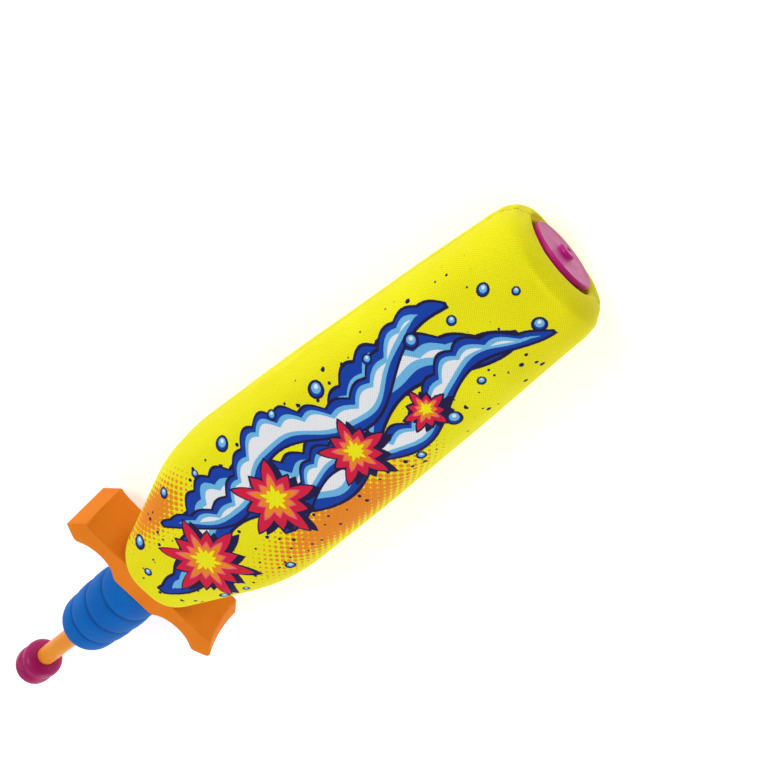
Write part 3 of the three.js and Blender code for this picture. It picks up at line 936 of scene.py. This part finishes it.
def makeGuard(s):
    outline = guardOutline(s)
    run = np.roll(outline, -1, axis=0) - np.roll(outline, 1, axis=0)
    inward = np.column_stack([-run[:, 1], run[:, 0]]) / np.hypot(*run.T)[:, None]
    middle = outline.mean(0)
    if ((middle - outline) * inward).sum() < 0:
        inward = -inward
    edge, inner = s.edge, s.halfDepth - s.edge
    levels = [(edge * (1 - math.sin(a)), s.halfDepth - edge * (1 - math.cos(a)))
              for a in np.linspace(0, math.pi / 2, s.edgeLevels)]
    upper = levels[::-1]
    levels = levels + [(0.0, float(z)) for z in np.linspace(inner, -inner, s.wallLevels)[1:-1]]
    levels += [(inset, -z) for inset, z in upper]
    points, faces, count = [], [], len(outline)
    nearWing = s.hollow * smooth(*s.hollowSpan, -outline[:, 1])
    farWing = s.farHollow * smooth(*s.rearFacing, -inward[:, 0])
    wing = nearWing + farWing * smooth(*s.hollowSpan, outline[:, 1])
    for inset, z in levels:
        dish = wing * max(0.0, 1 - (z / inner) ** 2)
        for x, y in outline + inward * (inset + dish)[:, None]:
            points.append((x * mm, y * mm, axisHeight + z * mm))
    for i in range(len(levels) - 1):
        for k in range(count):
            n = (k + 1) % count
            faces.append((i * count + k, i * count + n, (i + 1) * count + n, (i + 1) * count + k))
    faces.append(tuple(range(count)))
    faces.append(tuple(range((len(levels) - 1) * count, len(levels) * count)))
    mesh = outward(meshOf("guardFoam", points, faces))
    back, ahead = s.rear - s.drillPast, s.front + s.drillPast
    line = [(back, 0), (back, s.bore), (ahead, s.bore), (ahead, 0)]
    drill = placed("drill", turnedMesh("drill", line, 64))
    blank = placed("guardBlank", mesh)
    cut = blank.modifiers.new("bore", "BOOLEAN")
    cut.operation = "DIFFERENCE"
    cut.object = drill
    weighted = blank.modifiers.new("flatFaces", "WEIGHTED_NORMAL")
    weighted.weight = 50
    bored = baked(blank)
    bpy.data.objects.remove(drill)
    return bored


guard = addPiece("guardFoam", makeGuard(named(guardSet)), finishes["orangeFoam"],
                 "squirter", ["guard"])
print("guard:", len(guard.data.polygons), "faces")

# grip: a turned foam sleeve, gently barrel-shaped; a node tree presses the row of grooves into it
gripLow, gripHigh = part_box("grip")
gripSet = {
    "rear": gripLow.x / mm, "front": gripHigh.x / mm,
    "frontRadius": 18.6, "radius": 20.6, "rearRadius": 17.8,
    "frontRound": 1.2, "endRound": 12.0, "endWall": 5.0, "bore": 14.3, "rodHole": 6.9,
    "grooves": 3, "grooveStart": 19.5, "groovePitch": 17.5,
    "grooveHalf": 7.4, "grooveDepth": 1.3, "grooveCurve": 2.8,
    # painted shade along the grooves: how far it reaches in m, how dark it gets, and its colour
    "creaseShadeReach": 0.0018, "creaseShadeStrength": 0.55, "creaseShade": linear(2, 48, 108),
}
grooveRow = ((gripSet["front"] - gripSet["grooveStart"]) * mm, gripSet["groovePitch"] * mm,
             float(gripSet["grooves"] - 1))  # the first groove, the pitch and the last one's number
# blue foam with painted shade along its grooves
finishes["blueFoam"] = makeFoam(
    "blueFoam", (4, 104, 192), (3, 92, 176), 0.55, 0.5, 0.7, 0.00012,
    grooveShade={"row": grooveRow, "reach": gripSet["creaseShadeReach"], "depth": gripSet["creaseShadeStrength"],
             "shade": gripSet["creaseShade"]})


def gripRadius(s, x):
    along = (s.front - x) / (s.front - s.rear)
    ends = s.frontRadius + (s.rearRadius - s.frontRadius) * along
    swell = s.radius - (s.frontRadius + s.rearRadius) / 2
    return ends + 4 * swell * along * (1 - along)


def gripBlank(s):
    stations = np.linspace(s.front - s.frontRound, s.rear + s.endRound, 180)
    outline = roundCorner((s.front - s.frontRound, gripRadius(s, s.front) - s.frontRound),
                          s.frontRound, 0, 80, 4)
    outline += [(float(x), float(gripRadius(s, x))) for x in stations]
    roundStart = s.rear + s.endRound
    middle = (roundStart, float(gripRadius(s, roundStart)) - s.endRound)
    outline += roundCorner(middle, s.endRound, 92, 180, 16)
    wall = s.rear + s.endWall
    outline += [(s.rear, s.rodHole + 0.5), (s.rear + 0.5, s.rodHole), (wall, s.rodHole),
                (wall, s.bore), (s.front, s.bore)]
    return turnedMesh("gripBlank", outline, 112, closed=True)


grooveEntries = ("First Groove", "Groove Pitch", "Last Index")


def grooveTree(values):
    tree, given = newTree("pressedGrooves", values)
    sums = arithmetic(tree)
    place, flat, unit, length, scaled, push = map(tree.nodes.new, (
        "GeometryNodeInputPosition", "ShaderNodeCombineXYZ", "ShaderNodeVectorMath",
        "ShaderNodeVectorMath", "ShaderNodeVectorMath", "GeometryNodeSetPosition"))
    unit.operation, length.operation, scaled.operation = "NORMALIZE", "LENGTH", "SCALE"
    parts = apart(tree, place.outputs[0])
    off = fromGroove(sums, parts[0], *(given[name] for name in grooveEntries))
    share = sums.most(sums.minus(1.0, sums.over(off, given["Half Width"])), 0.0)
    pressed = sums.times(sums.power(share, given["Curve"]), given["Depth"])
    dress(tree, flat, {"Y": parts[1], "Z": sums.minus(parts[2], given["Axis Height"])})
    for node in (unit, length):
        feed(tree, node.inputs[0], flat.outputs[0])
    feed(tree, scaled.inputs[0], unit.outputs[0])
    skin = sums.above(length.outputs["Value"], sums.plus(given["Bore"], 0.0004))  # the bore stays round
    dress(tree, scaled, {"Scale": sums.times(sums.times(pressed, skin), -1.0)})
    dress(tree, push, {"Geometry": given["Geometry"], "Offset": scaled.outputs[0]})
    return endTree(tree, push.outputs["Geometry"], given["Foam"])


gripMesh = runTree("gripBlank", gripBlank(named(gripSet)), grooveTree, {
    **dict(zip(grooveEntries, grooveRow)),
    "Half Width": gripSet["grooveHalf"] * mm, "Depth": gripSet["grooveDepth"] * mm,
    "Curve": gripSet["grooveCurve"], "Bore": gripSet["bore"] * mm,
    "Axis Height": axisHeight, "Foam": finishes["blueFoam"],
})
gripMesh.shade_smooth()
grip = addPiece("gripFoam", gripMesh, finishes["blueFoam"], "squirter", ["grip"])
print("grip:", len(gripMesh.polygons), "faces")

# nozzle cap: turned disc with a boss and the jet hole
capLow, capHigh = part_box("nozzle_cap")
capSet = {
    "tip": capHigh.x / mm, "rear": capLow.x / mm, "disc": capHigh.y / mm, "thickness": 2.9, "edge": 0.8,
    "bossHeight": 2.2, "bossRadius": 4.2, "bossRound": 0.9, "jet": 1.1, "jetEdge": 0.3,
    "hub": 15.6, "hubLength": 4.2, "spigotRadius": 12.0, "throat": 10.2, "step": 0.08, "stepRadius": 16.6,
}


def makeCap(s):
    face = s.tip - s.bossHeight
    back = face - s.thickness
    hub = back - s.hubLength
    line = [(s.rear, s.throat), (s.rear, s.spigotRadius), (hub, s.spigotRadius),
            (hub, s.hub), (back, s.hub)]
    line += roundCorner((back + s.edge, s.disc - s.edge), s.edge, 180, 90, 6)
    line += roundCorner((face - s.edge, s.disc - s.edge), s.edge, 90, 0, 6)
    line += [(face, s.stepRadius + 0.4), (face - s.step, s.stepRadius)]
    line += [(face - s.step, s.bossRadius + 1.0), (face - s.step + 0.15, s.bossRadius + 0.4),
             (face + 0.3, s.bossRadius)]
    soft = s.bossRound
    line += roundCorner((s.tip - soft, s.bossRadius - soft), soft, 90, 0, 6)
    line += [(s.tip, s.jet + s.jetEdge), (s.tip - s.jetEdge, s.jet),
             (back, s.jet), (hub, s.throat)]
    return turnedMesh("nozzleDisc", line, 112, closed=True)


addPiece("nozzleDisc", makeCap(named(capSet)), finishes["nozzlePlastic"],
         "squirter", ["nozzle_cap"])

# plunger: tube rod and a spool knob
rodLow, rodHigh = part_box("plunger_rod")
rodSet = {
    "rear": rodLow.x / mm, "front": rodHigh.x / mm, "radius": rodHigh.y / mm, "wall": 1.5, "edge": 0.25,
}


def makeRod(s):
    inner = s.radius - s.wall
    stations = np.linspace(s.rear + s.edge, s.front - s.edge, 40)
    line = [(s.rear, inner), (s.rear, s.radius - s.edge)]
    line += [(float(x), s.radius) for x in stations]
    line += [(s.front, s.radius - s.edge), (s.front, inner)]
    return turnedMesh("rodTube", line, 64, closed=True)


addPiece("rodTube", makeRod(named(rodSet)), finishes["orangePlastic"],
         "plunger", ["plunger_rod"])

knobLow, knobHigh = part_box("knob")
knobSet = {
    "rear": knobLow.x / mm, "front": knobHigh.x / mm, "radius": knobHigh.y / mm, "waist": 12.2,
    "rim": 8.5, "edge": 3.0, "dome": 4.8, "socket": 6.45, "socketDepth": 13.0, "lip": 0.6,
    "dish": ((0.5, 0), (0.45, 4.0), (0.1, 8.2)),  # how far the rear face is sunk, and where
    "waistBend": ((-0.25, 0.06), (0.0, 0.0), (0.25, 0.06)), "socketEdge": 0.2,
}


def makeKnob(s):
    middle = s.radius - s.edge
    rearRim, frontRim = s.rear + s.rim, s.front - s.rim
    line = [(s.rear + sunk, radius) for sunk, radius in s.dish]
    line += roundCorner((s.rear + s.edge, middle), s.edge, 178, 90, 9)
    line += roundCorner((rearRim - s.edge, middle), s.edge, 90, 42, 5)
    line += [((rearRim + frontRim) / 2 + off, s.waist + rise) for off, rise in s.waistBend]
    line += roundCorner((frontRim + s.edge, middle), s.edge, 138, 90, 5)
    inner = s.socket + s.lip
    for turn in np.linspace(0, math.pi / 2, 14):  # the front swells smoothly to the rod's socket
        line.append((s.front - s.dome * (1 - math.sin(turn)),
                     inner + (s.radius - inner) * math.cos(turn)))
    end = s.front - s.socketDepth
    line += [(s.front, s.socket + s.socketEdge), (s.front - s.socketEdge, s.socket),
             (end, s.socket), (end, 0)]
    return turnedMesh("pullKnob", line, 96)


addPiece("pullKnob", makeKnob(named(knobSet)), finishes["magentaPlastic"],
         "plunger", ["knob"])

# pieces inside the pump keep their CAD shape
insideFinish = {
    "foam_core": "paddingFoam", "barrel": "whitePlastic", "rod_guide": "whitePlastic",
    "piston": "whitePlastic", "piston_ring_front": "blackRubber", "piston_ring_rear": "blackRubber",
}
for nodeName, finishName in insideFinish.items():
    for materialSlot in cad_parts[nodeName].material_slots:
        materialSlot.material = finishes[finishName]
print("turned pieces and inner finishes done")

# floor and light
studioSet = {
    "floor": linear(250, 250, 250), "floorPale": linear(252, 252, 252), "floorSize": 6.0,
    "floorDrop": 0.0002, "floorGlow": 0.38, "world": 0.62, "worldAhead": 0.26, "aim": (0.02, 0, 0.03),
    "lights": [
        {"name": "keyPanel", "place": (0.30, 1.08, 1.02), "size": 0.9, "watts": 9.8},
        {"name": "fillPanel", "place": (-0.45, -1.25, 0.55), "size": 1.2, "watts": 9.0},
    ],
}
half, white = studioSet["floorSize"] / 2, (1.0, 1.0, 1.0, 1.0)
corners = [(-half, -half, 0), (half, -half, 0), (half, half, 0), (-half, half, 0)]
floorMesh = meshOf("floor", corners, [(0, 1, 2, 3)])
floorMaterial, floorTree, floorShader = newMaterial("paleFloor")
floorMottle = noiseOf(floorTree, objectPlace(floorTree), 3.0)
dress(floorTree, floorShader, {
    "Base Color": mixed(floorTree, floorMottle, studioSet["floor"], studioSet["floorPale"]),
    "Roughness": 0.9, "Specular IOR Level": 0.1,
    "Emission Color": white, "Emission Strength": studioSet["floorGlow"],
})
floorMesh.materials.append(floorMaterial)
floor = placed("floor", floorMesh)
floor.location.z = -studioSet["floorDrop"]

world = bpy.data.worlds.new("studioWorld")
world.use_nodes = True
worldTree = world.node_tree
worldPlace = worldTree.nodes.new("ShaderNodeTexCoord").outputs["Generated"]
ahead = ranged(worldTree, apart(worldTree, worldPlace)[0], -0.1, 0.8,
               studioSet["world"], studioSet["worldAhead"])
dress(worldTree, worldTree.nodes["Background"], {"Color": white, "Strength": ahead})
scene.world = world
aim = Vector(studioSet["aim"])
for light in studioSet["lights"]:
    lamp = bpy.data.lights.new(light["name"], "AREA")
    lamp.shape = "DISK"
    lamp.size = light["size"]
    lamp.energy = light["watts"]
    holder = placed(light["name"], lamp)
    holder.location = light["place"]
    holder.rotation_euler = (aim - Vector(light["place"])).to_track_quat("-Z", "Y").to_euler()
print("floor and lights set")
